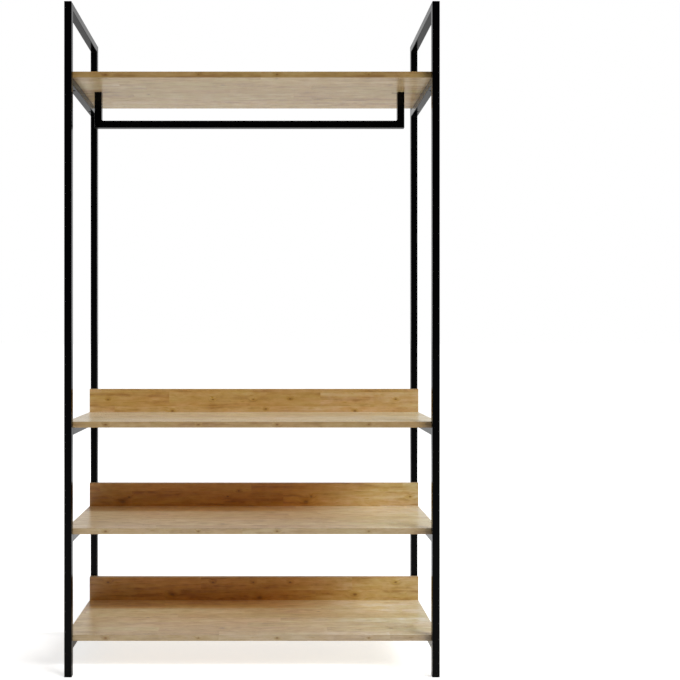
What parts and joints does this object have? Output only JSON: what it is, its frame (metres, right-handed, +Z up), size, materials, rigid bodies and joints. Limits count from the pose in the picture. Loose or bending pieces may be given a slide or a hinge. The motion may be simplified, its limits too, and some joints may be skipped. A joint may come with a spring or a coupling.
{
  "type": "open wardrobe rack",
  "caption": "Open wardrobe rack with black square-tube side frames, oak-look shelves with low backboards and a square hanging rail under the top shelf.",
  "frame": {"origin": "on the floor, under the middle of the rack's box", "axes": "+X to the right as the rack is seen from the front, +Y from the front to the back, +Z up"},
  "size_m": [1, 0.4, 1.8],
  "materials": {
    "black_steel": "black powder coat, semi-gloss",
    "oak_laminate": "laminated board with a light oak stave pattern, satin",
    "oak_edge_band": "oak patterned edge band, satin",
    "foot_plastic": "black moulded plastic, fine texture",
    "plated_steel": "zinc plated"
  },
  "bodies": {
    "root": {"bottom_backboard": "oak_laminate", "bottom_backboard_edging": "oak_edge_band", "bottom_backboard_screws": "plated_steel", "bottom_joining_screws": "plated_steel", "bottom_shelf": "oak_laminate", "bottom_shelf_edging": "oak_edge_band", "bottom_shelf_screws": "plated_steel", "front_left_foot": "foot_plastic", "front_left_post": "black_steel", "front_right_foot": "foot_plastic", "front_right_post": "black_steel", "hanging_bar": "black_steel", "hanging_rail_bolts": "plated_steel", "hanging_rail_left_leg": "black_steel", "hanging_rail_left_plug": "plated_steel", "hanging_rail_right_leg": "black_steel", "hanging_rail_right_plug": "plated_steel", "left_bottom_shelf_rail": "black_steel", "left_lower_shelf_rail": "black_steel", "left_middle_shelf_rail": "black_steel", "left_top_rail": "black_steel", "left_top_shelf_rail": "black_steel", "lower_backboard": "oak_laminate", "lower_backboard_edging": "oak_edge_band", "lower_backboard_screws": "plated_steel", "lower_joining_screws": "plated_steel", "lower_shelf": "oak_laminate", "lower_shelf_edging": "oak_edge_band", "lower_shelf_screws": "plated_steel", "middle_backboard": "oak_laminate", "middle_backboard_edging": "oak_edge_band", "middle_backboard_screws": "plated_steel", "middle_joining_screws": "plated_steel", "middle_shelf": "oak_laminate", "middle_shelf_edging": "oak_edge_band", "middle_shelf_screws": "plated_steel", "rear_left_foot": "foot_plastic", "rear_left_post": "black_steel", "rear_right_foot": "foot_plastic", "rear_right_post": "black_steel", "right_bottom_shelf_rail": "black_steel", "right_lower_shelf_rail": "black_steel", "right_middle_shelf_rail": "black_steel", "right_top_rail": "black_steel", "right_top_shelf_rail": "black_steel", "top_shelf": "oak_laminate", "top_shelf_edging": "oak_edge_band", "top_shelf_screws": "plated_steel"}
  },
  "joints": []
}
